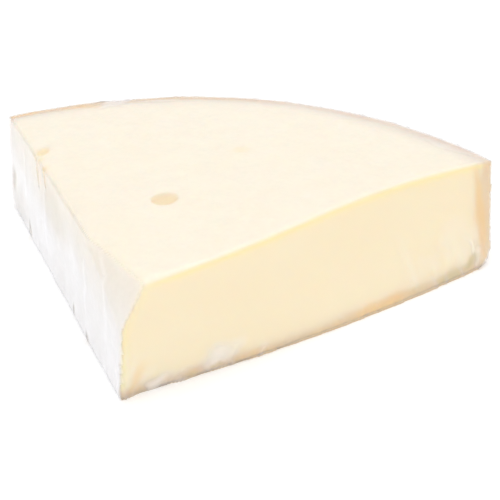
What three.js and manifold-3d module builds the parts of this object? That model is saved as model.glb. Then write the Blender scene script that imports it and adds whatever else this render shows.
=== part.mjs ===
// A wedge of semi-hard cheese in clear shrink film, in millimetres, +Z up.
//
// A low round wheel is halved level through its thickness, and then two upright
// knife cuts that meet at the wheel's centre take a wedge out of the lower half.
// The wedge stands on the wheel's underside with its thin end, the nose, towards
// -Y and the wheel's rim towards +Y. A clear film is shrunk tight all round it.

import * as THREE from 'three';
import { mergeVertices } from 'three/addons/utils/BufferGeometryUtils.js';
import Module from 'manifold-3d';

const wasm = await Module();
wasm.setup();

// ---------------------------------------------------------------- the wheel

const WHEEL_RADIUS = 160; // centre to the rim, where the rim is widest
const WEDGE_HEIGHT = 43; // underside to the level cut
const RIM_SWELL = 2; // how much wider the wheel is at the level cut than above its lower edge
const HEEL_ROUND = 8; // radius of the lower edge, where the rim turns under

// ---------------------------------------------------------- the upright cuts

const WEDGE_ANGLE = 86; // degrees between the two cuts, along the top face

// How far each cut has wandered out of its upright plane. Outwards is positive.
const LEFT_FLARE_NOSE = 6.4; // left cut, at the underside, at the nose
const LEFT_FLARE_RIM = 7.8; // left cut, at the underside, at the rim
const RIGHT_FLARE_NOSE = 0.3; // right cut, at the underside, at the nose
const RIGHT_FLARE_RIM = 9.1; // right cut, at the underside, at the rim
const RIGHT_BELLY = 4.6; // right cut, at the underside, halfway along
const RIGHT_HOLLOW = 3.8; // right cut, at the top, halfway along, inwards
const RIGHT_WAVE = 2.6; // right cut, at the top: out near the nose, in near the rim

// ---------------------------------------------------------------- the nose

const NOSE_WEAR_BACK = 8.2; // how far the worn corner is set back along the top face
const NOSE_WEAR_TURN = 35; // degrees that the worn face is turned towards the left cut
const NOSE_WEAR_LEAN = 35; // degrees that the worn face leans back from upright

// ---------------------------------------------------------------- the eyes

// Gas bubbles that the level cut has opened. Each is placed by its distance from the
// wheel's centre and its bearing from the left cut, in degrees, towards the right cut.
const EYES = [
  { distance: 59.9, bearing: 34.7, length: 10.6, width: 9.2, depth: 3.6, turn: 25 },
  { distance: 106.2, bearing: 47, length: 8.4, width: 6, depth: 1, turn: 15 },
  { distance: 115.9, bearing: 2.3, length: 5.2, width: 3.6, depth: 1.4, turn: -30 },
];

// ---------------------------------------------------------------- the film

const FILM_CLEARANCE = 0.3; // between the cheese and the film's inside
const FILM_WALL = 0.4; // the film's thickness here, thicker than real film so that it is a solid
const VENT_RADIUS = 1.5; // the hole that lets the air out as the film shrinks
const VENT_HEIGHT = 22; // the hole's height above the cheese's underside, at the back of the rim

// ---------------------------------------------------------------- fineness

const WHEEL_SEGMENTS = 144;
const HEEL_STEPS = 5;
const RIM_STEPS = 3;
const CUT_STEPS_ALONG = 18;
const CUT_STEPS_UP = 8;
const EYE_SEGMENTS = 20;
const VENT_SEGMENTS = 16;

// ---------------------------------------------------------------- materials

const cheeseMaterial = new THREE.MeshStandardMaterial({
  color: 0xfbe9c4,
  roughness: 0.45,
  metalness: 0,
});

const filmMaterial = new THREE.MeshStandardMaterial({
  color: 0xf6f6f8,
  roughness: 0.12,
  metalness: 0,
  transparent: true,
  opacity: 0.25,
});

// ---------------------------------------------------------------- solids

function toSolid(geometry) {
  const shell = geometry.clone();
  shell.deleteAttribute('normal');
  shell.deleteAttribute('uv');
  const merged = mergeVertices(shell);
  const mesh = new wasm.Mesh({
    numProp: 3,
    vertProperties: new Float32Array(merged.attributes.position.array),
    triVerts: new Uint32Array(merged.index.array),
  });
  return new wasm.Manifold(mesh);
}

function toGeometry(solid) {
  const mesh = solid.getMesh();
  const geometry = new THREE.BufferGeometry();
  geometry.setAttribute('position', new THREE.BufferAttribute(mesh.vertProperties, 3));
  geometry.setIndex(new THREE.BufferAttribute(mesh.triVerts, 1));
  geometry.computeVertexNormals();
  return geometry;
}

// The lower half of the wheel. Every surface stands `skin` outside the cheese's own.
function wheelHalf(skin) {
  const rimBase = WHEEL_RADIUS - RIM_SWELL;
  const profile = [new THREE.Vector2(0, -skin)];
  for (let i = 0; i <= HEEL_STEPS; i++) {
    const turn = (Math.PI / 2) * (i / HEEL_STEPS);
    profile.push(new THREE.Vector2(
      rimBase - HEEL_ROUND + (HEEL_ROUND + skin) * Math.sin(turn),
      HEEL_ROUND - (HEEL_ROUND + skin) * Math.cos(turn),
    ));
  }
  for (let i = 1; i <= RIM_STEPS; i++) {
    const rise = i / RIM_STEPS;
    profile.push(new THREE.Vector2(
      rimBase + RIM_SWELL * Math.sin((Math.PI / 2) * rise) + skin,
      THREE.MathUtils.lerp(HEEL_ROUND, WEDGE_HEIGHT + skin, rise),
    ));
  }
  profile.push(new THREE.Vector2(0, WEDGE_HEIGHT + skin));
  const wheel = new THREE.LatheGeometry(profile, WHEEL_SEGMENTS);
  wheel.rotateX(Math.PI / 2);
  return toSolid(wheel);
}

// How far the right cut stands out of its upright plane. `along` runs from 0 at
// the nose to 1 at the rim, and `up` from 0 at the underside to 1 at the top.
function rightCutOffset(along, up) {
  const bow = Math.sin(Math.PI * along);
  const wave = Math.sin(2 * Math.PI * along);
  const top = RIGHT_WAVE * wave - RIGHT_HOLLOW * bow;
  const flare = THREE.MathUtils.lerp(RIGHT_FLARE_NOSE, RIGHT_FLARE_RIM, along);
  const bottom = flare + RIGHT_BELLY * bow;
  return THREE.MathUtils.lerp(bottom, top, up);
}

function leftCutOffset(along, up) {
  const bottom = THREE.MathUtils.lerp(LEFT_FLARE_NOSE, LEFT_FLARE_RIM, along);
  return THREE.MathUtils.lerp(bottom, 0, up);
}

// What the knife takes off on one side: a block whose near face is the cut.
// `side` is 1 for the right cut and -1 for the left one.
function cutAway(side, offsetAt, skin) {
  const reach = 1.25 * WHEEL_RADIUS;
  const height = 2 * WEDGE_HEIGHT;
  const block = new THREE.BoxGeometry(reach, 2 * reach, height, 1, 2 * CUT_STEPS_ALONG, CUT_STEPS_UP);
  block.translate((side * reach) / 2, 0, WEDGE_HEIGHT / 2);
  const points = block.attributes.position;
  for (let i = 0; i < points.count; i++) {
    if (Math.abs(points.getX(i)) < reach / 2) {
      const along = THREE.MathUtils.clamp(points.getY(i) / WHEEL_RADIUS, 0, 1);
      const up = points.getZ(i) / WEDGE_HEIGHT;
      points.setX(i, side * (offsetAt(along, up) + skin));
    }
  }
  block.rotateZ(-side * THREE.MathUtils.degToRad(WEDGE_ANGLE / 2));
  return toSolid(block);
}

// What has rubbed off the nose's upper corner: a block whose near face leans back.
function noseWear(skin) {
  const size = 2 * WEDGE_HEIGHT;
  const turn = THREE.MathUtils.degToRad(NOSE_WEAR_TURN);
  const block = new THREE.BoxGeometry(size, size, size);
  block.translate(0, -size / 2 - skin, 0);
  block.rotateX(-THREE.MathUtils.degToRad(NOSE_WEAR_LEAN));
  block.rotateZ(-turn);
  block.translate(
    NOSE_WEAR_BACK * Math.sin(turn),
    NOSE_WEAR_BACK * Math.cos(turn),
    WEDGE_HEIGHT,
  );
  return toSolid(block);
}

function wedge(skin) {
  return wheelHalf(skin)
    .subtract(cutAway(1, rightCutOffset, skin))
    .subtract(cutAway(-1, leftCutOffset, skin))
    .subtract(noseWear(skin));
}

function eye({ distance, bearing, length, width, depth, turn }) {
  const angle = THREE.MathUtils.degToRad(bearing - WEDGE_ANGLE / 2);
  const bubble = new THREE.SphereGeometry(1, EYE_SEGMENTS, EYE_SEGMENTS / 2);
  bubble.rotateX(Math.PI / 2);
  bubble.scale(length / 2, width / 2, depth);
  bubble.rotateZ(THREE.MathUtils.degToRad(turn));
  bubble.translate(distance * Math.sin(angle), distance * Math.cos(angle), WEDGE_HEIGHT);
  return toSolid(bubble);
}

function cheese() {
  return EYES.reduce((body, opened) => body.subtract(eye(opened)), wedge(0));
}

function vent() {
  const length = 2 * (RIM_SWELL + FILM_CLEARANCE + FILM_WALL);
  const hole = new THREE.CylinderGeometry(VENT_RADIUS, VENT_RADIUS, length, VENT_SEGMENTS);
  hole.translate(0, WHEEL_RADIUS, VENT_HEIGHT);
  return toSolid(hole);
}

function film() {
  const outside = wedge(FILM_CLEARANCE + FILM_WALL);
  const inside = wedge(FILM_CLEARANCE);
  return outside.subtract(inside).subtract(vent());
}

// ---------------------------------------------------------------- assembly

function piece(name, solid, material) {
  const mesh = new THREE.Mesh(toGeometry(solid), material);
  mesh.name = name;
  return mesh;
}

const pack = new THREE.Group();
pack.add(piece('cheese_wedge', cheese(), cheeseMaterial));
pack.add(piece('shrink_film', film(), filmMaterial));

// Stand the pack on z = 0 with its box centred on the upright axis.
const box = new THREE.Box3().setFromObject(pack);
const centre = box.getCenter(new THREE.Vector3());
pack.position.set(-centre.x, -centre.y, -box.min.z);

const object = new THREE.Group();
object.add(pack);

export default object;
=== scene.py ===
"""A wedge of semi-hard cheese in clear shrink film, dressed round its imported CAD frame."""

import math
import random

import bpy
import numpy as np
from bpy.props import FloatProperty, FloatVectorProperty, IntProperty, PointerProperty
from mathutils import Matrix, Vector, noise


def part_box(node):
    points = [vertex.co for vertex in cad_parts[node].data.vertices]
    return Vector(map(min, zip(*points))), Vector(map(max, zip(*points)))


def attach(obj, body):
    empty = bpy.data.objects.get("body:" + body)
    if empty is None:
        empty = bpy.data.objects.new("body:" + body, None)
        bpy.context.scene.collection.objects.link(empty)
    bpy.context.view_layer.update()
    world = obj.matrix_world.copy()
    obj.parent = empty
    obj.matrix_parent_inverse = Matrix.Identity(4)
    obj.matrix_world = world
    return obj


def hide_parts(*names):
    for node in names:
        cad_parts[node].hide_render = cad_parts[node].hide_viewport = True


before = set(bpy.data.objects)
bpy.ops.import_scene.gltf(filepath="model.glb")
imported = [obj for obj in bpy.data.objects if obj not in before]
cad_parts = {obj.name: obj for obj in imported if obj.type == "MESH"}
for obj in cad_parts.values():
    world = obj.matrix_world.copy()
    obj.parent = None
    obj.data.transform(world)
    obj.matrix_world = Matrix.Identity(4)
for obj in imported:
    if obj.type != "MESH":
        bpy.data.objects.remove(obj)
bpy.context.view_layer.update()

bl_info = {
    "name": "Film-Wrapped Cheese Wedge",
    "version": (1, 0, 0),
    "blender": (4, 5, 0),
    "location": "View3D > Sidebar > Cheese",
    "description": "Builds a wedge of cheese and its shrink film round the CAD frame",
    "category": "Object",
}

MM = 0.001
MOST_TRIANGLES = 200_000
FILM_LEVEL = 0.05 * MM    # how far the film's underside stays above the floor
KNIFE_REACH = 45 * MM     # how far into the wedge the bend of a cut is felt
NOSE_REACH = 26 * MM      # how far from the worn corner the nose is rubbed soft


def length(name, description, default):
    return FloatProperty(name=name, description=description, default=default, unit="LENGTH", precision=5)


def angle(name, description, degrees):
    return FloatProperty(name=name, description=description, default=math.radians(degrees), subtype="ANGLE")


def colour(name, description, default):
    return FloatVectorProperty(name=name, description=description, default=default, size=3,
                               subtype="COLOR", min=0, max=1)


def share(name, description, default):
    return FloatProperty(name=name, description=description, default=default, subtype="FACTOR", min=0, max=1)


class CHEESE_PG_wedge(bpy.types.PropertyGroup):
    wheel_radius: length("Wheel radius", "From the wheel's centre to its rim at the level cut", 160 * MM)
    rim_swell: length("Rim swell", "How much wider the wheel is at the level cut", 2 * MM)
    heel_round: length("Heel round", "Radius where the rim turns under", 8 * MM)
    angle: angle("Angle", "Between the two upright cuts", 86)
    left_flare_nose: length("Left flare, nose", "How far the left cut stands out underneath", 6.4 * MM)
    left_flare_rim: length("Left flare, rim", "How far the left cut stands out underneath", 7.8 * MM)
    right_flare_nose: length("Right flare, nose", "How far the right cut stands out underneath", 0.3 * MM)
    right_flare_rim: length("Right flare, rim", "How far the right cut stands out underneath", 9.1 * MM)
    right_belly: length("Right belly", "Bulge of the right cut underneath, halfway along", 4.6 * MM)
    right_hollow: length("Right hollow", "Hollow of the right cut on top, halfway along", 3.8 * MM)
    right_wave: length("Right wave", "Sideways wave of the right cut along the top", 2.6 * MM)
    nose_back: length("Nose wear", "How far the worn corner is set back on top", 8.2 * MM)
    nose_turn: angle("Nose turn", "How far the worn face is turned to the left cut", 35)
    nose_lean: angle("Nose lean", "How far the worn face leans back", 35)
    unevenness: length("Unevenness", "How far the faces sink and swell", 0.5 * MM)
    settle: length("Settle", "How far the soft cheese sinks onto its film", 0.4 * MM)
    voxel: length("Grain of the mesh", "Size of the cells that the surface is made of", 0.94 * MM)


class CHEESE_PG_looks(bpy.types.PropertyGroup):
    paste: colour("Paste", "The cheese inside", (0.945, 0.825, 0.59))
    paste_light: colour("Light paste", "Paler clouds in the paste", (0.96, 0.89, 0.72))
    # Painted glow: the cut edges coloured brighter, standing in for light shining through the paste.
    edge: colour("Cut edge", "Where light shines through the right cut's edges", (0.99, 0.84, 0.36))
    ripe: colour("Ripe paste", "The deeper paste near the rind", (0.60, 0.53, 0.42))
    # Deeper yellow painted into the eyes and cracks by depth: the lining's own tone, partly painted shade in
    # the hollows.
    eye: colour("Eye", "The lining of the opened eyes", (0.96, 0.71, 0.17))
    band: colour("Band", "The dense band under the rind", (0.74, 0.55, 0.33))
    band_deep: colour("Deep band", "Orange-brown stretches of the band", (0.68, 0.40, 0.18))
    rind: colour("Rind", "The dry natural rind", (0.52, 0.31, 0.13))
    rind_dark: colour("Dark rind", "Brown patches on the rind", (0.30, 0.16, 0.06))
    bloom: colour("Bloom", "Pale bloom on the rind", (0.68, 0.54, 0.34))
    amber: colour("Amber", "Amber stains along the rind and in the cracks", (0.90, 0.54, 0.13))
    olive: colour("Olive", "Olive stains near the rind", (0.52, 0.42, 0.14))
    # The crumbs' own duller colour, partly painted shade on the rounded shoulder.
    rough: colour("Broken edge", "The crumbled shoulder of the left cut", (0.80, 0.72, 0.50))
    rind_thickness: length("Rind thickness", "Depth of the rind itself", 0.7 * MM)
    band_thickness: length("Band thickness", "Depth of the band under the rind", 4.0 * MM)
    ripe_thickness: length("Ripe depth", "Depth to which the paste is darker", 11.0 * MM)
    smear: colour("Smear", "Butterfat that clings inside the clear film", (0.95, 0.83, 0.60))
    rind_smear: colour("Rind smear", "What clings inside the film over the rind", (0.72, 0.50, 0.27))
    smear_amount: share("Smear amount", "How much of the clear film the butterfat covers", 0.34)
    # Also the colour of the painted sheen and highlights on the film.
    milk: colour("Milk", "Colour of the film where it is creased or cloudy", (0.90, 0.895, 0.92))


class CHEESE_PG_film(bpy.types.PropertyGroup):
    gap: length("Gap", "From the cheese to the film", 0.6 * MM)
    # Painted sheen: the left and level cuts get more cloudiness, standing in for the film reflecting the
    # bright room.
    left_sheen_and_haze: share("Left haze", "Cloudiness over the left cut", 0.80)
    right_haze: share("Right haze", "Cloudiness over the right cut", 0.07)
    top_sheen_and_haze: share("Top haze", "Cloudiness over the level cut", 0.355)
    rim_haze: share("Rim haze", "Cloudiness over the rim", 0.09)
    least_haze: share("Least haze", "Cloudiness of the clearest film", 0.07)
    # Painted highlight: the white strip where the film turns over the rim's upper edge.
    turn_sheen_and_haze: share("Turned haze", "Cloudiness where the film turns over the rim's upper edge", 0.25)
    # Painted light: whiter film along the foot, partly covering the shade where the wedge meets the floor.
    foot_haze_and_light: share("Foot haze", "Cloudiness where the film is gathered along the foot", 0.2)
    seed: IntProperty(name="Seed", description="Chooses where the small pleats fall", default=7)


class CHEESE_PG_stage(bpy.types.PropertyGroup):
    azimuth: angle("Azimuth", "How far the camera stands to the right of the nose", 17.7)
    elevation: angle("Elevation", "How far the camera looks down", 33.1)
    roll: angle("Roll", "Tilt of the camera about its line of sight", -2.5)
    distance: length("Distance", "From the camera to the point that it looks at", 351 * MM)
    aim_right: length("Aim, right", "The point looked at, to the right of the wheel's centre", 12.8 * MM)
    aim_back: length("Aim, back", "The point looked at, behind the wheel's centre", 95.7 * MM)
    lens: FloatProperty(name="Lens", description="Focal length in millimetres", default=57.6, min=20)


# -------- where the cheese's faces are


def smooth(x):
    """0 below 0, 1 above 1, and a soft step between."""
    x = np.clip(x, 0, 1)
    return x * x * (3 - 2 * x)


class Wheel:
    """Where the wheel's centre, rim and cuts are in the part's frame."""

    def __init__(self, sizes):
        low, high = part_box("cheese_wedge")
        crown = max(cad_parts["cheese_wedge"].data.vertices, key=lambda v: v.co.y).co
        half = sizes.angle / 2
        self.sizes = sizes
        self.half = half
        self.centre = np.array((crown.x, high.y - sizes.wheel_radius))
        self.base = low.z - sizes.settle
        self.height = high.z - self.base
        self.top = self.base + self.height
        self.along_right = np.array((math.sin(half), math.cos(half)))
        self.along_left = np.array((-math.sin(half), math.cos(half)))
        self.out_right = np.array((math.cos(half), -math.sin(half)))
        self.out_left = np.array((-math.cos(half), -math.sin(half)))
        turn, lean = sizes.nose_turn, sizes.nose_lean
        self.out_worn = np.array((-math.sin(turn) * math.cos(lean), -math.cos(turn) * math.cos(lean),
                                  math.sin(lean)))
        self.worn_top = np.array((self.centre[0] + sizes.nose_back * math.sin(turn),
                                  self.centre[1] + sizes.nose_back * math.cos(turn), high.z))

    def up(self, points):
        """0 at the wheel's underside and 1 at the level cut."""
        return (points[:, 2] - self.base) / self.height

    def plan(self, points):
        return points[:, :2] - self.centre

    def right_offset(self, along, up):
        s = self.sizes
        along = np.clip(along, 0, 1)
        bow = np.sin(np.pi * along)
        top = s.right_wave * np.sin(2 * np.pi * along) - s.right_hollow * bow
        bottom = s.right_flare_nose + (s.right_flare_rim - s.right_flare_nose) * along + s.right_belly * bow
        return bottom + (top - bottom) * up

    def left_offset(self, along, up):
        s = self.sizes
        along = np.clip(along, 0, 1)
        return (s.left_flare_nose + (s.left_flare_rim - s.left_flare_nose) * along) * (1 - up)

    def cut_inset(self, points, offset, along, out):
        """How far inside a cut each point lies."""
        plan = self.plan(points)
        return offset(plan @ along / self.sizes.wheel_radius, self.up(points)) - plan @ out

    def right_inset(self, points):
        return self.cut_inset(points, self.right_offset, self.along_right, self.out_right)

    def left_inset(self, points):
        return self.cut_inset(points, self.left_offset, self.along_left, self.out_left)

    def nose_inset(self, points):
        """How far behind the worn corner of the nose, or the left cut, each point lies."""
        return np.minimum((self.worn_top - points) @ self.out_worn, self.left_inset(points))

    def rim_inset(self, points):
        s = self.sizes
        rise = np.clip((points[:, 2] - self.base - s.heel_round) / (self.height - s.heel_round), 0, 1)
        radius = s.wheel_radius - s.rim_swell * (1 - rise)
        return radius - np.linalg.norm(self.plan(points), axis=1)

    def skin_depth(self, points):
        """How deep each point lies under the wheel's own skin: its rim, heel and underside."""
        heel = self.sizes.heel_round
        side = heel - self.rim_inset(points)
        under = heel - (points[:, 2] - self.base)
        corner = np.hypot(np.maximum(side, 0), np.maximum(under, 0)) + np.minimum(np.maximum(side, under), 0)
        return heel - corner

    def on_plan(self, x, y):
        """A point given from the wheel's centre, in the part's frame."""
        return self.centre[0] + x, self.centre[1] + y


# -------- mesh tools


def vectors_of(collection, field):
    flat = np.empty(3 * len(collection), np.float32)
    collection.foreach_get(field, flat)
    return flat.reshape(-1, 3).astype(float)


def points_of(obj):
    return vectors_of(obj.data.vertices, "co")


def normals_of(obj):
    return vectors_of(obj.data.vertex_normals, "vector")


def move_points(obj, points):
    obj.data.vertices.foreach_set("co", points.astype(np.float32).ravel())
    obj.data.update()


def store(obj, name, values):
    """Keeps one number per point of the mesh, for the material to read."""
    layer = obj.data.attributes.new(name, "FLOAT", "POINT")
    layer.data.foreach_set("value", values.astype(np.float32))


def weigh(obj, name, weights):
    """Makes a vertex group that says how strongly a modifier works at each point."""
    group = obj.vertex_groups.new(name=name)
    for index in np.flatnonzero(weights > 0.01):
        group.add([int(index)], float(weights[index]), "REPLACE")


def use(obj):
    """Makes obj the only selected object, and the active one."""
    bpy.ops.object.select_all(action="DESELECT")
    obj.select_set(True)
    bpy.context.view_layer.objects.active = obj


def modify(obj, kind, **settings):
    """Adds a modifier and applies it."""
    use(obj)
    modifier = obj.modifiers.new(kind.title(), kind)
    for name, value in settings.items():
        setattr(modifier, name, value)
    bpy.ops.object.modifier_apply(modifier=modifier.name)


def place_mesh(obj):
    """Leaves the object at the origin, unturned and unscaled, with its place in its mesh."""
    use(obj)
    bpy.ops.object.transform_apply(location=True, rotation=True, scale=True)


def slice_off(point, normal):
    """In edit mode: cuts the whole mesh on a plane, drops what is outside and closes the cut."""
    bpy.ops.mesh.select_all(action="SELECT")
    bpy.ops.mesh.bisect(plane_co=point, plane_no=normal, use_fill=True, clear_outer=True)


def in_metres(values):
    return tuple(value * MM for value in values)


def roughened(points, size, seed):
    """Smooth noise from -1 to 1 at each point, with features of that size."""
    shift = Vector((seed, 2 * seed, 3 * seed))
    return np.array([noise.noise(Vector(p) / size + shift) for p in points])


# -------- the cheese


def wedge_blank(name, wheel):
    """The wheel's lower half, sliced flat twice through its centre and once across the nose."""
    s = wheel.sizes
    x, y = wheel.centre
    bpy.ops.object.select_all(action="DESELECT")
    bpy.ops.mesh.primitive_cone_add(
        vertices=240, radius1=s.wheel_radius - s.rim_swell, radius2=s.wheel_radius, depth=wheel.height,
        end_fill_type="NGON", location=(x, y, wheel.base + wheel.height / 2))
    blank = bpy.context.active_object
    blank.name = blank.data.name = name
    place_mesh(blank)

    bpy.ops.object.mode_set(mode="EDIT")
    bpy.ops.mesh.select_mode(type="EDGE")
    bpy.ops.mesh.select_all(action="DESELECT")
    bpy.ops.object.mode_set(mode="OBJECT")
    for edge in blank.data.edges:
        edge.select = all(blank.data.vertices[i].co.z < wheel.base + 1e-5 for i in edge.vertices)
    bpy.ops.object.mode_set(mode="EDIT")
    bpy.ops.mesh.bevel(offset=s.heel_round, segments=6, affect="EDGES")

    for out, flare in zip((wheel.out_right, wheel.out_left), flat_flares(s)):
        slice_off((x, y, wheel.top), Vector((out[0], out[1], flare / wheel.height)).normalized())
    slice_off(wheel.worn_top, wheel.out_worn)
    bpy.ops.object.mode_set(mode="OBJECT")
    return blank


def flat_flares(sizes):
    """How far the right and the left cut stand out underneath while they are still flat."""
    return ((sizes.right_flare_nose + sizes.right_flare_rim) / 2,
            (sizes.left_flare_nose + sizes.left_flare_rim) / 2)


def let_knife_wander(blank, wheel):
    """Bends the two flat cuts to the way that the knife really went."""
    points = points_of(blank)
    up = wheel.up(points)
    right_flare, left_flare = flat_flares(wheel.sizes)
    for offset, flare, out, along, slide in (
            (wheel.right_offset, right_flare, wheel.out_right, wheel.along_right, wheel.along_left),
            (wheel.left_offset, left_flare, wheel.out_left, wheel.along_left, wheel.along_right)):
        plan = wheel.plan(points)
        flat = flare * (1 - up)
        wanted = offset(plan @ along / wheel.sizes.wheel_radius, up) - flat
        pull = wanted * smooth(1 - (flat - plan @ out) / KNIFE_REACH)
        points[:, :2] -= np.outer(pull / math.sin(wheel.sizes.angle), slide)
    move_points(blank, points)


def nose_weight(points, wheel):
    """1 at the worn corner of the nose, falling to 0 at the end of its reach."""
    aside = 0.4 * wheel.sizes.nose_back
    worn = np.array((*wheel.on_plan(aside, aside), wheel.top))
    return smooth(1 - np.linalg.norm(points - worn, axis=1) / NOSE_REACH)


def fine_mesh(blank, wheel):
    """Turns the blank into an even fine mesh with bent cuts, a rubbed nose and faces that sag a little."""
    modify(blank, "REMESH", mode="VOXEL", voxel_size=wheel.sizes.voxel)
    modify(blank, "SMOOTH", factor=0.5, iterations=2)
    let_knife_wander(blank, wheel)
    weigh(blank, "nose", nose_weight(points_of(blank), wheel))
    modify(blank, "SMOOTH", factor=0.5, iterations=40, vertex_group="nose")
    points = points_of(blank)
    sag = wheel.sizes.unevenness * roughened(points, 30 * MM, 11.0)
    move_points(blank, points - normals_of(blank) * np.abs(sag)[:, None])


# The cracks in the left cut's upper edge: place along the cut in mm, and how they lean.
CRACKS = ((97, -0.6), (106, -0.45))


def crumble_edge(cheese, wheel):
    """Breaks crumbs from the left cut's upper edge and cracks it. Returns how deep the cracks are."""
    points, normals = points_of(cheese), normals_of(cheese)
    along = wheel.plan(points) @ wheel.along_left
    deep = wheel.top - points[:, 2]
    inset = wheel.left_inset(points)
    from_edge = np.hypot(deep, inset)
    rough = 0.6 + 0.7 * roughened(points, 5 * MM, 1.3) + 0.35 * roughened(points, 2 * MM, 4.1)
    stretch = smooth((along - 40 * MM) / (12 * MM)) * smooth((96 * MM - along) / (14 * MM))
    broken = stretch * smooth(1 - from_edge / (6.5 * MM))
    bite = 1.6 * MM * broken * rough
    cracks = np.zeros(len(points))
    reach = smooth(1 - deep / (11 * MM)) * smooth(1 - inset / (4 * MM))
    for place, slant in CRACKS:
        lean = slant * (deep - 4 * MM)
        cracks += 1.6 * MM * np.exp(-((along - place * MM - lean) / (1.0 * MM)) ** 2) * reach
    move_points(cheese, points - normals * (bite + cracks)[:, None])
    # The broken mask carries the crumbs' colour with painted shade, stronger further down the shoulder.
    store(cheese, "broken", np.clip(broken * (0.5 + 0.5 * rough) * smooth(deep / (2.5 * MM)), 0, 1))
    return np.clip(cracks / (1.2 * MM), 0, 1)


# The gas bubbles that the level cut opened: place from the wheel's centre, length, width and depth in mm,
# turn in degrees, and how strong their yellow is from 0 to 1. That yellow deepens with depth, partly as
# painted shade.
EYES = (
    ("large eye", -8.6, 59.3, 10.8, 9.4, 3.4, 25, 1.0),
    ("shallow eye", 7.4, 105.9, 8.4, 6.0, 0.9, 15, 0.35),
    ("edge eye", -75.0, 86.2, 8.6, 5.4, 1.6, 100, 1.0),
    ("pin eye", 20.9, 34.4, 2.0, 1.6, 0.6, 0, 0.3),
    ("pin eye", -25.8, 71.0, 2.2, 1.5, 0.5, 20, 0.3),
    ("pin eye", -13.0, 115.7, 3.4, 1.8, 0.5, 10, 0.3),
    ("pin eye", -2.5, 76.8, 3.0, 1.8, 0.35, 10, 0.2),
)


def open_eyes(cheese, wheel):
    """Cuts the gas bubbles that the level cut has opened."""
    for name, x, y, long, wide, deep, turn, _ in EYES:
        bpy.ops.object.select_all(action="DESELECT")
        px, py = wheel.on_plan(x * MM, y * MM)
        bpy.ops.mesh.primitive_uv_sphere_add(segments=40, ring_count=24, radius=1,
                                             location=(px, py, wheel.top))
        bubble = bpy.context.active_object
        bubble.name = name
        bubble.scale = (long * MM / 2, wide * MM / 2, deep * MM)
        bubble.rotation_euler = (0, 0, math.radians(turn))
        place_mesh(bubble)
        wobble = points_of(bubble)
        centre = np.array((px, py, wheel.top))
        grow = 1 + 0.09 * roughened(wobble, 3.5 * MM, x)
        move_points(bubble, centre + (wobble - centre) * grow[:, None])
        modify(cheese, "BOOLEAN", operation="DIFFERENCE", object=bubble, solver="EXACT")
        bpy.data.objects.remove(bubble)


def eye_depth(points, wheel):
    """How deep each point lies inside an opened eye, from 0 at the level cut to 1: the mask for the eyes'
    deeper yellow, partly painted shade.
    """
    found = np.zeros(len(points))
    for _, x, y, long, _, deep, _, tone in EYES:
        px, py = wheel.on_plan(x * MM, y * MM)
        inside = np.hypot(points[:, 0] - px, points[:, 1] - py) < 0.62 * long * MM
        hollow_shade = tone * smooth((wheel.top - 0.25 * MM - points[:, 2]) / (0.5 * deep * MM))
        inside &= points[:, 2] > wheel.top - 1.3 * deep * MM
        found = np.maximum(found, np.where(inside, hollow_shade, 0))
    return np.clip(found, 0, 1)


def painted_edge_glow(points, wheel):
    """1 beside the right cut's edges on top and at the nose: a painted glow that stands in for light passing
    through the paste.
    """
    across = np.abs(wheel.right_inset(points))
    below = wheel.top - points[:, 2]
    top_line = smooth(1 - np.abs(below - 1.4 * MM) / (2.2 * MM))
    nose_line = 0.9 * smooth(1 - wheel.nose_inset(points) / (5 * MM))
    return np.maximum(top_line, nose_line) * smooth(1 - across / (1.0 * MM))


def square_foot(points, normals, wheel, level):
    """Brings the foot of the cuts down to that level, so that they meet the floor without a gap."""
    low = points[:, 2] - wheel.base < 2 * MM
    inner = wheel.rim_inset(points) > wheel.sizes.heel_round - 1 * MM
    down = smooth((-normals[:, 2] - 0.04) / 0.2) * (low & inner)
    points[:, 2] += (level - points[:, 2]) * down
    return points


def texture_cuts(cheese, wheel):
    """Gives the cut faces the drag of the knife and the fine unevenness of the curd."""
    points, normals = points_of(cheese), normals_of(cheese)
    skin = smooth(1 - wheel.skin_depth(points) / (1.2 * MM))
    drag = roughened(points * np.array((0.35, 0.35, 1.0)), 5 * MM, 2.2)
    curd = roughened(points, 2.4 * MM, 5.0)
    pitted = roughened(points, 3.2 * MM, 8.0) + 0.6 * roughened(points, 1.4 * MM, 9.0)
    lift = (1 - skin) * (0.10 * MM * drag + 0.04 * MM * curd) + skin * 0.16 * MM * pitted
    points = square_foot(points + normals * lift[:, None], normals, wheel, wheel.base)
    move_points(cheese, points)


# -------- the faces laid flat, and their stains


class Face:
    """One side of the wedge, laid flat: each point's place on it, and whether it faces that way."""

    def __init__(self, across, up, turned_to):
        self.across, self.up = across, up
        self.near = smooth((turned_to - 0.3) / 0.45)


def faces_of(points, normals, wheel):
    """Where each point lies on each face, with a slight wander so that no fold runs dead straight."""
    stray = np.column_stack([roughened(points, 8 * MM, seed) for seed in (21.0, 22.0, 23.0)])
    plan = wheel.plan(points) + 2.2 * MM * stray[:, :2]
    up = points[:, 2] - wheel.base + 2.2 * MM * stray[:, 2]
    radius = np.linalg.norm(plan, axis=1)
    radial = (normals[:, :2] * plan).sum(axis=1) / np.maximum(radius, 1e-6)
    level = normals[:, :2]
    outer = radius > 0.8 * wheel.sizes.wheel_radius
    bearing = np.arctan2(plan[:, 0], plan[:, 1])
    return {
        "right": Face(plan @ wheel.along_right, up, level @ wheel.out_right),
        "left": Face(plan @ wheel.along_left, up, level @ wheel.out_left),
        "rim": Face(bearing * wheel.sizes.wheel_radius, up, np.where(outer, radial, 0)),
        "top": Face(plan[:, 0], plan[:, 1], normals[:, 2]),
        "under": Face(plan[:, 0], plan[:, 1], -normals[:, 2]),
    }


def blot(face, place, reach, slant):
    """A patch with soft edges, 1 in the middle."""
    across = face.across - place[0] - slant * (face.up - place[1])
    away = np.hypot(across / reach[0], (face.up - place[1]) / reach[1])
    return smooth((1.5 - away) / 1.1) * face.near
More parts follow.
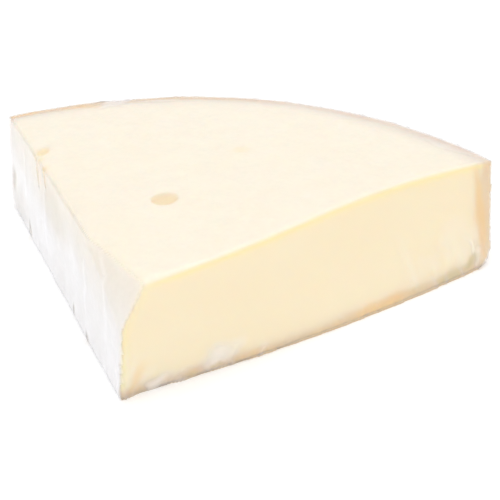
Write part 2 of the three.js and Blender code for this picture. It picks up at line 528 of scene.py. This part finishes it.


# Stains in the paste, one of them partly painted shade on the left shoulder: face, middle and reach as
# (across, up) in mm, how amber, how olive, slant.
STAINS = (
    ("right", (98, 0.5), (13, 3.4), 0.9, 0, 0.8),
    ("right", (74, 0), (8, 2.2), 0.6, 0, 0),
    ("right", (48, 0), (9, 1.8), 0.5, 0, 0),
    ("right", (118, 1), (4, 1.6), 0.3, 0.4, 0),
    ("right", (135, 1.5), (7, 3.4), 0.2, 0.8, 0.9),
    ("right", (147, 4), (3.2, 3.2), 0.3, 0.9, 1),
    ("right", (19.5, 1), (2.4, 1.7), 0.7, 0.5, 0),
    ("right", (29.5, 1), (2, 1.6), 0.7, 0.5, 0),
    ("right", (0, 4), (2, 8), 0.4, 0, 0.4),
    ("right", (153.5, 22), (2.2, 18), 0.85, 0.15, 0),
    ("left", (151, 15.5), (4.5, 6.5), 0, 0.55, 0),
    ("left", (140, 9), (14, 9), 0, 0.22, 0),
    ("left", (122, 4), (2.4, 4), 0, 0.6, 0),
    ("left", (53, 3), (1.5, 3), 0, 0.6, 0),
    ("left", (36, 1), (2, 3), 0, 0.6, 0),
    # Olive on the left shoulder: partly painted shade of its rounded edge.
    ("left", (84, 32), (16, 9), 0, 0.3, 0.3),
    ("left", (106, 38), (1.6, 4.6), 1, 0, 0.45),
    ("left", (96.5, 41), (1.6, 3.8), 1, 0, 0.8),
    ("top", (-103, 121), (2.8, 8), 0.7, 0, 1.15),
    ("top", (-79, 133), (4, 4.5), 0.5, 0, 1.96),
)


def stains(faces):
    """How amber and how olive the paste is at each point."""
    amber = np.zeros_like(faces["top"].up)
    olive = amber.copy()
    for face, place, reach, warm, green, slant in STAINS:
        spot = blot(faces[face], in_metres(place), in_metres(reach), slant)
        amber = np.maximum(amber, warm * spot)
        olive = np.maximum(olive, green * spot)
    return amber, olive


# -------- the film


class Creases:
    """Adds up how far the film is lifted, and how milky it is with partly painted highlight, over all its
    pleats.
    """

    def __init__(self, count):
        self.lift = np.zeros(count)
        self.milk = np.zeros(count)
        self.veil = np.zeros(count)

    def pleat(self, face, start, end, width, height, milk, bend):
        """A ridge with a crease beside it. It is highest near its start and dies out at its end."""
        sx, sy = start
        dx, dy = end[0] - sx, end[1] - sy
        run = math.hypot(dx, dy)
        ux, uy = dx / run, dy / run
        t = ((face.across - sx) * ux + (face.up - sy) * uy) / run
        side = (face.up - sy) * ux - (face.across - sx) * uy - bend * np.sin(np.pi * np.clip(t, 0, 1))
        taper = smooth((t + 0.06) / 0.12) * smooth((1.0 - t) / 0.6) * face.near
        wide = width * (1 + 0.5 * np.clip(t, 0, 1))
        ridge = np.exp(-((side / wide) ** 2))
        crease = np.exp(-(((side - 1.4 * wide) / (0.6 * wide)) ** 2))
        self.lift += taper * height * (ridge - 0.4 * crease)
        # Milky along the ridge: the creased film's own whitening, partly painted highlight.
        self.milk = np.maximum(self.milk, milk * taper * np.exp(-((side / (1.1 * wide)) ** 2)))

    def cloud(self, face, place, reach, veil, slant):
        """A cloudy patch with soft edges, partly painted sheen on the film."""
        self.veil = np.maximum(self.veil, veil * blot(face, place, reach, slant))


def fan(creases, face, rng, corner, first, last, count, reach, width, height, milk):
    """Pleats that spread from a corner, between two directions in degrees."""
    for i in range(count):
        aim = math.radians(first + (last - first) * (i + rng.uniform(-0.3, 0.3)) / max(count - 1, 1))
        run = reach * rng.uniform(0.5, 1.1)
        start = (corner[0] + rng.uniform(-1, 1) * MM, corner[1] + rng.uniform(-0.5, 1) * MM)
        end = (start[0] + run * math.cos(aim), start[1] + run * math.sin(aim))
        creases.pleat(face, start, end, width * rng.uniform(0.7, 1.3), height * rng.uniform(0.6, 1.2),
                      milk * rng.uniform(0.4, 1.0), rng.uniform(-1.5, 1.5) * MM)


def gathers(creases, face, rng, span, level, count, reach, width, height, milk, tilt):
    """Short pleats side by side that run up from an edge."""
    for i in range(count):
        across = span[0] + (span[1] - span[0]) * (i + rng.uniform(-0.45, 0.45)) / count
        aim = math.radians(90 + rng.uniform(-tilt, tilt))
        run = reach * rng.uniform(0.35, 1.25)
        end = (across + run * math.cos(aim), level + run * math.sin(aim))
        creases.pleat(face, (across, level), end, width * rng.uniform(0.6, 1.5),
                      height * rng.uniform(0.4, 1.2), milk * rng.uniform(0.0, 1.0), rng.uniform(-1, 1) * MM)


# Folds that catch the eye: face, start and end as (across, up) in mm, width, height, milkiness, bend. The
# milkiness is partly painted highlight on the folds.
FOLDS = (
    ("right", (-5, 0), (4, 20), 1.4, 0.3, 0.32, 1),
    ("right", (-5, 0), (2, 30), 0.9, 0.35, 0.35, 0.5),
    ("right", (-3, 0), (10, 12), 0.9, 0.3, 0.30, 0.4),
    ("right", (3, 0.5), (13, 7), 1.2, 0.2, 0.48, 0.5),
    ("right", (12, -1), (22, 5), 1, 0.3, 0.35, 0),
    ("right", (26, -1), (36, 13), 2.4, 0.12, 0.22, 1),
    ("right", (31, -1), (27, 9), 1.3, 0.12, 0.30, 1),
    ("right", (45, -1), (50, 5), 0.8, 0.3, 0.45, 0),
    ("right", (155, 1), (143, 20), 0.8, 0.18, 0.26, 1),
    ("right", (151, 0), (144, 19), 0.7, 0.18, 0.30, -0.6),
    ("right", (149, 1), (155, 15), 1.4, 0.18, 0.45, 0.6),
    ("right", (156, 3), (151, 34), 1, 0.15, 0.15, 1.5),
    ("right", (142, 0), (138, 8), 0.8, 0.3, 0.45, 0),
    ("right", (133, 0), (131, 6), 0.8, 0.3, 0.40, 0),
    ("right", (127, 0), (122, 5), 0.8, 0.3, 0.35, 0),
    ("left", (20, 37), (29, 44), 0.8, 0.09, 0.17, 0.5),
    ("left", (20, 38), (14, 6), 1.2, 0.09, 0.12, -2),
    ("left", (56, 40), (44, 6), 4, 0.03, 0.04, 1),
    ("left", (40, 34), (36, 2), 1.4, 0.09, 0.12, 0),
    ("left", (96, 38), (90, 2), 1.6, 0.12, 0.12, 1),
    ("left", (132, 38), (128, 2), 1.4, 0.12, 0.12, -1),
    ("left", (161, 46), (158, 4), 2.4, 0.27, 0.15, 0),
    # Rim folds over the upper edge: their milkiness is partly a painted glint.
    ("rim", (-78, 46), (-74, 20), 2.2, 0.15, 0.75, 0),
    ("rim", (-66, 46), (-60, 26), 1.4, 0.15, 0.55, 0),
    ("rim", (-92, 46), (-95, 30), 1.2, 0.15, 0.45, 0),
)

# Cloudy patches, partly painted sheen on the film: face, middle and reach as (across, up) in mm, cloudiness,
# slant.
CLOUDS = (
    ("right", (31, 5.5), (8, 5.5), 0.48, 0.7),
    ("right", (143, 15), (11, 12), 0.24, -0.3),
    ("right", (9, 3), (9, 3), 0.30, 0.6),
    ("right", (88, 5), (16, 3), 0.08, 0),
    ("right", (124, 10), (10, 5), 0.16, 0.5),
    ("left", (52, 22), (17, 13), 0.80, 0.3),
    ("left", (96, 14), (26, 12), 0.85, 0),
    ("left", (134, 20), (16, 14), 0.82, 0),
    ("left", (20, 8), (18, 9), 0.78, 0),
    ("top", (-66, 140), (6, 8), 0.5, 0.5),
    ("top", (-48, 147), (6, 3), 0.45, 2.6),
    ("top", (91, 125), (5, 12), 0.42, -1.48),
    ("rim", (-76, 44), (7, 14), 0.45, 0.2),
    ("rim", (-52, 44), (18, 12), 0.40, 0),
    ("rim", (60, 44), (50, 12), 0.30, 0),
)


def large_folds(creases, faces):
    """The folds and the cloudy patches that have a set place."""
    for face, start, end, width, height, milk, bend in FOLDS:
        creases.pleat(faces[face], in_metres(start), in_metres(end), width * MM, height * MM, milk,
                      bend * MM)
    for face, place, reach, veil, slant in CLOUDS:
        creases.cloud(faces[face], in_metres(place), in_metres(reach), veil, slant)


def small_pleats(creases, faces, wheel, rng):
    """The scattered pleats, in the order in which their places are drawn."""
    right, left, rim = faces["right"], faces["left"], faces["rim"]

    # The right cut: low gathers along its foot and a few long ones at the heel.
    gathers(creases, right, rng, (8 * MM, 154 * MM), -1 * MM, 26, 8 * MM, 0.9 * MM, 0.25 * MM, 0.18, 45)
    gathers(creases, right, rng, (120 * MM, 156 * MM), 0, 5, 24 * MM, 1.6 * MM, 0.3 * MM, 0.2, 25)

    # The left cut: long upright pleats, gathers along its foot and a fan from the nose.
    gathers(creases, left, rng, (0, 158 * MM), 0, 13, 44 * MM, 3.2 * MM, 0.08 * MM, 0.05, 8)
    gathers(creases, left, rng, (0, 158 * MM), -1 * MM, 16, 9 * MM, 1.4 * MM, 0.12 * MM, 0.08, 25)
    fan(creases, left, rng, (-2 * MM, 1 * MM), 50, 95, 4, 24 * MM, 1.2 * MM, 0.25 * MM, 0.15)

    # The rim: upright pleats over the heel and the upper edge.
    edge = wheel.half * wheel.sizes.wheel_radius
    gathers(creases, rim, rng, (-edge, edge), -2 * MM, 40, 24 * MM, 1.4 * MM, 0.5 * MM, 0.4, 14)
    top = wheel.height + 2 * MM
    gathers(creases, rim, rng, (-edge, edge), top, 18, -14 * MM, 1.3 * MM, 0.3 * MM, 0.3, 18)


def clear_strip(points, faces, wheel):
    """1 on the level film beside the left half of the rim, where the rind's brown shows through."""
    beside = smooth(1 - np.abs(wheel.rim_inset(points)) / (9 * MM))
    return beside * faces["top"].near * smooth((40 * MM - faces["rim"].across) / (80 * MM))


def face_sheen_and_haze(faces, settings):
    """The cloudiness of each face, where no patch or pleat adds to it. Its higher levels on the left and
    level cuts are partly painted sheen, the film's reflection laid in as white.
    """
    left = faces["left"]
    # Painted sheen on the left cut, a little weaker towards its top.
    fade = 0.75 + 0.25 * smooth((43 * MM - left.up) / (24 * MM))
    return np.maximum.reduce([
        settings.left_sheen_and_haze * left.near * fade, settings.right_haze * faces["right"].near,
        settings.top_sheen_and_haze * faces["top"].near, settings.rim_haze * faces["rim"].near,
        np.full_like(left.near, settings.least_haze)])


def edge_haze_and_painted_light(points, faces, wheel, settings, foot):
    """The cloudiness of the gathered film, over the rim's upper edge and along the foot: partly painted
    highlight over the edge, and partly painted light over the shade at the foot.
    """
    patchy = smooth(0.5 + 1.2 * roughened(points, 24 * MM, 31.0))
    from_top = np.abs(wheel.height - (points[:, 2] - wheel.base))
    turned = smooth(1 - np.abs(wheel.rim_inset(points)) / (6 * MM)) * smooth(1 - from_top / (6 * MM))
    return np.maximum(settings.turn_sheen_and_haze * turned * patchy,
                      # Along the foot: gathered film, partly painted light over the contact shade.
                      settings.foot_haze_and_light * foot * (1 - faces["under"].near))


def shrink_creases(film, wheel, settings):
    """Pleats the film where it had to gather as it shrank, and says how milky it is, painted sheen and
    highlights included.
    """
    points, normals = points_of(film), normals_of(film)
    faces = faces_of(points, normals, wheel)
    right, left, rim, under = faces["right"], faces["left"], faces["rim"], faces["under"]
    creases = Creases(len(points))
    large_folds(creases, faces)
    small_pleats(creases, faces, wheel, random.Random(settings.seed))

    foot = smooth(1 - (points[:, 2] - wheel.base) / (1.2 * MM))
    strip = clear_strip(points, faces, wheel)
    cloudy = np.maximum(creases.veil, edge_haze_and_painted_light(points, faces, wheel, settings, foot))
    cloudy = np.maximum(cloudy, face_sheen_and_haze(faces, settings) * (1 - 0.95 * strip))
    clinging = 1 - 0.9 * np.maximum(*stains(faces))
    cream = 0.22 * left.near * smooth((left.up - 18 * MM) / (24 * MM)) + 0.35 * right.near
    over_rind = np.maximum.reduce([rim.near, under.near, foot * (1 - left.near), 0.85 * strip])

    lift = np.clip(creases.lift, -0.1 * MM, 1.2 * MM)
    points = square_foot(points + normals * lift[:, None], normals, wheel, FILM_LEVEL)
    points[:, 2] = np.maximum(points[:, 2], FILM_LEVEL)
    move_points(film, points)
    store(film, "crease", np.clip(creases.milk, 0, 1))
    store(film, "over_rind", over_rind)
    store(film, "foot", foot)
    store(film, "whiteness", 1 - np.clip(cream, 0, 1))
    store(film, "haze", np.clip(cloudy * clinging, 0, 1))


# -------- materials


def feed(tree, socket, value):
    """Links a socket to another node's output, or sets it to a number, a vector or a colour."""
    if isinstance(value, bpy.types.NodeSocket):
        tree.links.new(value, socket)
    elif socket.type == "RGBA":
        socket.default_value = (*value, 1)
    else:
        socket.default_value = value


def node(tree, kind, inputs=None, **settings):
    """Adds a node, with its settings and with what goes into its sockets."""
    made = tree.nodes.new(kind)
    for name, value in settings.items():
        setattr(made, name, value)
    for name, value in (inputs or {}).items():
        feed(tree, made.inputs[name], value)
    return made


def number(tree, operation, *values, clamp=False):
    """A Math node. Each value is a number or another node's output."""
    inputs = dict(enumerate(values))
    return node(tree, "ShaderNodeMath", inputs, operation=operation, use_clamp=clamp).outputs[0]


def noise_mask(tree, place, scale, detail=3.0, roughness=0.55, distortion=0.0):
    return node(tree, "ShaderNodeTexNoise", {
        "Vector": place, "Scale": scale, "Detail": detail, "Roughness": roughness,
        "Distortion": distortion}).outputs[0]


def ramp(tree, value, low, high, start=0.0, end=1.0, kind="SMOOTHSTEP"):
    """Turns a value that runs from low to high into one that runs from start to end."""
    return node(tree, "ShaderNodeMapRange", {
        "Value": value, "From Min": low, "From Max": high, "To Min": start, "To Max": end},
        interpolation_type=kind).outputs[0]


def blend_colours(tree, mask, below, above):
    return node(tree, "ShaderNodeMix", {0: mask, 6: below, 7: above}, data_type="RGBA").outputs[2]


def blend_shaders(tree, mask, below, above):
    return node(tree, "ShaderNodeMixShader", {0: mask, 1: below.outputs[0], 2: above.outputs[0]})


def mottle_group():
    """Cloudy patches with a finer grain in them, as a mask from 0 to 1 and as a height."""
    name = "Mottle"
    if name in bpy.data.node_groups:
        return bpy.data.node_groups[name]
    tree = bpy.data.node_groups.new(name, "ShaderNodeTree")
    tree.interface.new_socket("Vector", in_out="INPUT", socket_type="NodeSocketVector")
    for entry_name in ("Patch Scale", "Grain Scale", "Grain"):
        tree.interface.new_socket(entry_name, in_out="INPUT", socket_type="NodeSocketFloat")
    for result_name in ("Mask", "Height"):
        tree.interface.new_socket(result_name, in_out="OUTPUT", socket_type="NodeSocketFloat")
    entry, leave = node(tree, "NodeGroupInput"), node(tree, "NodeGroupOutput")
    patch = noise_mask(tree, entry.outputs["Vector"], entry.outputs["Patch Scale"], 4.0)
    grain = noise_mask(tree, entry.outputs["Vector"], entry.outputs["Grain Scale"], 2.0)
    swing = number(tree, "MULTIPLY", number(tree, "SUBTRACT", grain, 0.5), entry.outputs["Grain"])
    both = number(tree, "ADD", patch, swing)
    feed(tree, leave.inputs["Mask"], ramp(tree, both, 0.3, 0.7))
    feed(tree, leave.inputs["Height"], both)
    return tree


def mottle(tree, place, patch_scale, grain_scale, grain):
    return node(tree, "ShaderNodeGroup", {
        "Vector": place, "Patch Scale": patch_scale, "Grain Scale": grain_scale, "Grain": grain},
        node_tree=mottle_group())


def new_material(name):
    """An empty material, its nodes, where on the object a point lies, and the socket for the surface."""
    material = bpy.data.materials.new(name)
    material.use_nodes = True
    tree = material.node_tree
    tree.nodes.clear()
    place = node(tree, "ShaderNodeTexCoord").outputs["Object"]
    return material, tree, place, node(tree, "ShaderNodeOutputMaterial").inputs["Surface"]


def attribute(tree, name):
    return node(tree, "ShaderNodeAttribute", attribute_name=name).outputs["Fac"]


def bump(tree, height, strength, distance):
    return node(tree, "ShaderNodeBump", {
        "Strength": strength, "Distance": distance, "Height": height}).outputs["Normal"]


def rind_masks(tree, place, looks):
    """Where the rind is, the dense band under it and the ripe paste under that, with ragged borders."""
    depth, rim_depth = attribute(tree, "rind_depth"), attribute(tree, "rim_depth")
    level = attribute(tree, "level")
    uneven = number(tree, "SUBTRACT", noise_mask(tree, place, 330.0, 4.0, 0.65), 0.5)
    wavy = number(tree, "SUBTRACT", noise_mask(tree, place, 60.0, 3.0), 0.5)
    ragged = number(tree, "ADD", number(tree, "MULTIPLY", uneven, 1.6 * MM),
                    number(tree, "MULTIPLY", wavy, 4.5 * MM))

    skin = ramp(tree, number(tree, "ADD", depth, number(tree, "MULTIPLY", uneven, 0.8 * MM)),
                0.7 * looks.rind_thickness, 1.3 * looks.rind_thickness, 1.0, 0.0)
    skin = number(tree, "MULTIPLY", skin, ramp(tree, attribute(tree, "outer"), 0.0, 1.0, 0.25, 1.0))

    worn_depth = number(tree, "ADD", depth, ragged)
    soft_band = ramp(tree, worn_depth, 0.3 * looks.band_thickness, 1.15 * looks.band_thickness, 0.95, 0.0)
    crisp = number(tree, "ADD", rim_depth, number(tree, "MULTIPLY", uneven, 1.8 * MM))
    crisp_band = ramp(tree, crisp, 1.0 * looks.band_thickness, 1.2 * looks.band_thickness, 0.75, 0.0)
    banded = number(tree, "MULTIPLY", number(tree, "MAXIMUM", soft_band, crisp_band),
                    ramp(tree, level, 0.0, 1.0, 1.0, 0.85))

    worn_rim = number(tree, "ADD", rim_depth, ragged)
    ripe_rim = ramp(tree, worn_rim, 0.0, looks.ripe_thickness, 0.9, 0.0, "LINEAR")
    ripe_foot = ramp(tree, worn_depth, 0.0, 0.6 * looks.ripe_thickness, 0.9, 0.0, "LINEAR")
    ripe = number(tree, "MULTIPLY", number(tree, "MAXIMUM", ripe_rim, ripe_foot),
                  ramp(tree, level, 0.0, 1.0, 0.85, 1.0))
    return skin, banded, ripe


def paste_colour(tree, place, ripe, looks):
    """The cheese inside: its ripe borders, a painted glow along the cut edges, and its eyes, cracks and
    crumbs, darkened partly with painted shade.
    """
    clouds = mottle(tree, place, 42.0, 420.0, 0.35)
    pale = blend_colours(tree, number(tree, "MULTIPLY", clouds.outputs["Mask"], 0.25),
                         looks.paste, looks.paste_light)
    fresh = blend_colours(tree, ripe, pale, looks.ripe)
    # Painted glow where light passes through the cut edges.
    glow = number(tree, "MULTIPLY", attribute(tree, "painted_edge_glow"), 0.9)
    with_edge_glow = blend_colours(tree, glow, fresh, looks.edge)
    # Eyes and cracks turn deeper yellow the deeper they go, partly painted shade in the hollows.
    eye = number(tree, "MAXIMUM", attribute(tree, "eye"), attribute(tree, "crack"))
    hollow_shade = blend_colours(tree, ramp(tree, eye, 0.0, 1.0, 0.0, 0.92, "LINEAR"), with_edge_glow, looks.eye)
    # Crumbled shoulder: its own colour, partly painted shade.
    broken = number(tree, "MULTIPLY", attribute(tree, "broken"), 0.45)
    return blend_colours(tree, broken, hollow_shade, looks.rough)


def cheese_material(looks):
    material, tree, place, surface = new_material("cheese")
    skin, banded, ripe = rind_masks(tree, place, looks)

    streaks = mottle(tree, place, 38.0, 300.0, 0.5)
    dense = blend_colours(tree, streaks.outputs["Mask"], looks.band, looks.band_deep)
    under = blend_colours(tree, banded, paste_colour(tree, place, ripe, looks), dense)
    warm = blend_colours(tree, attribute(tree, "amber"), under, looks.amber)
    stained = blend_colours(tree, attribute(tree, "olive"), warm, looks.olive)

    patches = mottle(tree, place, 26.0, 240.0, 0.7)
    brown = blend_colours(tree, patches.outputs["Mask"], looks.rind, looks.rind_dark)
    dusty = ramp(tree, noise_mask(tree, place, 90.0, 5.0, 0.7), 0.5, 0.66, 0.0, 0.6)
    bloomed = blend_colours(tree, dusty, brown, looks.bloom)

    grain = noise_mask(tree, place, 900.0, 3.0, 0.6)
    relief = number(tree, "ADD", number(tree, "MULTIPLY", grain, 0.4), patches.outputs["Height"])
    shader = node(tree, "ShaderNodeBsdfPrincipled", {
        "Base Color": blend_colours(tree, skin, stained, bloomed),
        "Roughness": ramp(tree, skin, 0.0, 1.0, 0.45, 0.75),
        "Normal": bump(tree, relief, 0.35, 0.3 * MM),
        "Subsurface Weight": 0.45,
        "Subsurface Radius": (1.0, 0.62, 0.28),
        "Subsurface Scale": 4 * MM,
        "IOR": 1.45})
    feed(tree, surface, shader.outputs[0])
    return material


def film_material(looks):
    """Clear film, with its milky parts, partly painted sheen and highlight, and the butterfat inside it laid
    over it as paint.
    """
    material, tree, place, surface = new_material("clear_film")
    cloud = mottle(tree, place, 55.0, 500.0, 0.25)
    drift = ramp(tree, cloud.outputs["Height"], 0.25, 0.75, 0.93, 1.07, "LINEAR")
    veil = number(tree, "MULTIPLY", attribute(tree, "haze"), drift)
    # Creases: whitened film, partly painted highlight on the folds.
    crease = number(tree, "MULTIPLY", attribute(tree, "crease"), 0.8)
    milky = number(tree, "ADD", veil, crease, clamp=True)
    # More smear along the foot: pressed film, partly painted light over the contact shade.
    pressed = number(tree, "MULTIPLY_ADD", attribute(tree, "foot"), 0.6, looks.smear_amount)
    smear = number(tree, "MAXIMUM", milky, pressed)
    fat = blend_colours(tree, attribute(tree, "over_rind"), looks.smear, looks.rind_smear)
    white = number(tree, "MULTIPLY", number(tree, "DIVIDE", milky, smear), attribute(tree, "whiteness"))

    ripple = noise_mask(tree, place, 130.0, 2.0, 0.5, 0.6)
    fine = noise_mask(tree, place, 420.0, 2.0, 0.5)
    relief = number(tree, "ADD", ripple, number(tree, "MULTIPLY", fine, 0.3))
    normal = bump(tree, relief, 0.4, 0.25 * MM)

    milk = node(tree, "ShaderNodeBsdfPrincipled", {
        "Base Color": blend_colours(tree, white, fat, looks.milk), "Roughness": 0.25, "Normal": normal})
    clear = node(tree, "ShaderNodeBsdfTransparent")
    shine = node(tree, "ShaderNodeBsdfGlossy", {"Roughness": 0.12, "Normal": normal})

    # Film mirrors a twentieth of the light head on, and all of it at a glancing angle.
    facing = node(tree, "ShaderNodeLayerWeight", {"Blend": 0.5})
    grazing = number(tree, "POWER", facing.outputs["Facing"], 5.0)
    mirrored = number(tree, "MULTIPLY_ADD", grazing, 0.95, 0.05)
    pane = blend_shaders(tree, mirrored, clear, shine)
    feed(tree, surface, blend_shaders(tree, smear, pane, milk).outputs[0])
    return material


def floor_material():
    """Pale paper that glows a little, so that no dark line is left under the wedge."""
    material, tree, place, surface = new_material("pale floor")
    paper = mottle(tree, place, 3.0, 60.0, 0.2)
    base = blend_colours(tree, number(tree, "MULTIPLY", paper.outputs["Mask"], 0.3),
                         (0.95, 0.95, 0.95), (0.93, 0.93, 0.93))
    shader = node(tree, "ShaderNodeBsdfPrincipled", {
        "Base Color": base, "Roughness": 0.7, "Emission Color": (1, 1, 1), "Emission Strength": 0.07})
    feed(tree, surface, shader.outputs[0])
    return material


def dress(obj, material, node_name, sharp):
    """Gives a finished piece its material and ties it to the frame. Edges sharper than sharp stay crisp."""
    obj.data.materials.clear()
    obj.data.materials.append(material)
    use(obj)
    bpy.ops.object.shade_smooth_by_angle(angle=math.radians(sharp))
    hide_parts(node_name)
    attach(obj, "root")
    triangles = sum(len(face.vertices) - 2 for face in obj.data.polygons)
    if not 0 < triangles < MOST_TRIANGLES:
        raise RuntimeError(f"{obj.name} came out with {triangles} triangles")


# -------- operators


class CHEESE_OT_wedge(bpy.types.Operator):
    """Slices the wedge from the lower half of a wheel, opens its eyes and gives it its rind"""

    bl_idname = "cheese.wedge"
    bl_label = "Cheese Wedge"

    def execute(self, context):
        wheel = Wheel(context.scene.cheese_wedge)
        cheese = wedge_blank("wedge_of_cheese", wheel)
        fine_mesh(cheese, wheel)
        texture_cuts(cheese, wheel)
        store(cheese, "crack", crumble_edge(cheese, wheel))
        open_eyes(cheese, wheel)
        points = points_of(cheese)
        store(cheese, "rind_depth", wheel.skin_depth(points))
        store(cheese, "rim_depth", wheel.rim_inset(points))
        store(cheese, "eye", eye_depth(points, wheel))
        store(cheese, "painted_edge_glow", painted_edge_glow(points, wheel))
        faces = faces_of(points, normals_of(cheese), wheel)
        amber, olive = stains(faces)
        store(cheese, "amber", amber)
        store(cheese, "olive", olive)
        store(cheese, "level", faces["top"].near)
        store(cheese, "outer", np.maximum(faces["rim"].near, faces["under"].near))
        dress(cheese, cheese_material(context.scene.cheese_looks), "cheese_wedge", 62)
        return {"FINISHED"}


class CHEESE_OT_film(bpy.types.Operator):
    """Shrinks a clear film round the wedge, with its pleats and its milky creases, partly painted highlight
    """

    bl_idname = "cheese.film"
    bl_label = "Shrink Film"

    def execute(self, context):
        wheel = Wheel(context.scene.cheese_wedge)
        settings = context.scene.cheese_film
        film = wedge_blank("wrapping_film", wheel)
        fine_mesh(film, wheel)
        modify(film, "DISPLACE", strength=settings.gap, mid_level=0.0)
        modify(film, "SMOOTH", factor=0.5, iterations=1)
        shrink_creases(film, wheel, settings)
        dress(film, film_material(context.scene.cheese_looks), "shrink_film", 60)
        return {"FINISHED"}


# The soft lights: name, place and side in metres, and power in watts.
LIGHTS = (
    ("overhead", (0.0, 0.25, 1.2), 1.2, 4.0),
    ("front_fill", (0.7, -1.0, 0.55), 0.9, 1.0),
    ("left_fill", (-1.0, -0.7, 0.5), 0.9, 0.35),
)


class CHEESE_OT_stage(bpy.types.Operator):
    """Sets out the pale floor, the soft light and the camera"""

    bl_idname = "cheese.stage"
    bl_label = "Stage"

    def execute(self, context):
        scene = context.scene
        stage = scene.cheese_stage
        wheel = Wheel(scene.cheese_wedge)
        bpy.ops.object.select_all(action="DESELECT")
        bpy.ops.mesh.primitive_plane_add(size=8, location=(0, 0, 0))
        floor = context.active_object
        floor.name = "floor"
        floor.data.materials.append(floor_material())

        world = bpy.data.worlds.new("studio")
        world.use_nodes = True
        scene.world = world
        background = world.node_tree.nodes["Background"]
        background.inputs["Color"].default_value = (1, 1, 1, 1)
        background.inputs["Strength"].default_value = 1.0

        for name, place, size, power in LIGHTS:
            soft_light(name, place, size, power)

        place_camera(scene, stage, wheel)
        scene.view_settings.view_transform = "Standard"
        return {"FINISHED"}


def place_camera(scene, stage, wheel):
    """Stands the camera back from the point that it looks at, and tilts it."""
    data = bpy.data.cameras.new("camera")
    data.lens = stage.lens
    camera = bpy.data.objects.new("camera", data)
    scene.collection.objects.link(camera)
    az, el = stage.azimuth, stage.elevation
    back = Vector((math.sin(az) * math.cos(el), -math.cos(az) * math.cos(el), math.sin(el)))
    right = Vector((math.cos(az), math.sin(az), 0))
    up = back.cross(right)
    c, s = math.cos(stage.roll), math.sin(stage.roll)
    aim = Vector((*wheel.on_plan(stage.aim_right, stage.aim_back), wheel.base))
    turned = Matrix((c * right + s * up, c * up - s * right, back)).transposed().to_4x4()
    camera.matrix_world = Matrix.Translation(aim + stage.distance * back) @ turned
    scene.camera = camera
    if stage.distance * math.sin(el) < wheel.height:
        raise RuntimeError("The camera stands inside or under the wedge")


def soft_light(name, place, size, power):
    """A square soft light that faces the wedge."""
    data = bpy.data.lights.new(name, "AREA")
    data.size = size
    data.energy = power
    lamp = bpy.data.objects.new(name, data)
    lamp.location = place
    lamp.rotation_euler = Vector(place).to_track_quat("Z", "Y").to_euler()
    bpy.context.scene.collection.objects.link(lamp)


class CHEESE_PT_panel(bpy.types.Panel):
    bl_label = "Cheese Wedge"
    bl_idname = "CHEESE_PT_panel"
    bl_space_type = "VIEW_3D"
    bl_region_type = "UI"
    bl_category = "Cheese"

    def draw(self, context):
        for group in GROUPS:
            box = self.layout.box()
            settings = getattr(context.scene, group)
            for name in settings.__annotations__:
                box.prop(settings, name)
        for operator in OPERATORS:
            self.layout.operator(operator.bl_idname)


GROUPS = {
    "cheese_wedge": CHEESE_PG_wedge,
    "cheese_looks": CHEESE_PG_looks,
    "cheese_film": CHEESE_PG_film,
    "cheese_stage": CHEESE_PG_stage,
}
OPERATORS = (CHEESE_OT_wedge, CHEESE_OT_film, CHEESE_OT_stage)


def register():
    for name, group in GROUPS.items():
        bpy.utils.register_class(group)
        setattr(bpy.types.Scene, name, PointerProperty(type=group))
    for operator in OPERATORS:
        bpy.utils.register_class(operator)
    bpy.utils.register_class(CHEESE_PT_panel)


def unregister():
    bpy.utils.unregister_class(CHEESE_PT_panel)
    for operator in reversed(OPERATORS):
        bpy.utils.unregister_class(operator)
    for name, group in reversed(GROUPS.items()):
        delattr(bpy.types.Scene, name)
        bpy.utils.unregister_class(group)


def main():
    register()
    bpy.ops.cheese.wedge()
    bpy.ops.cheese.film()
    bpy.ops.cheese.stage()


if __name__ == "__main__":
    main()
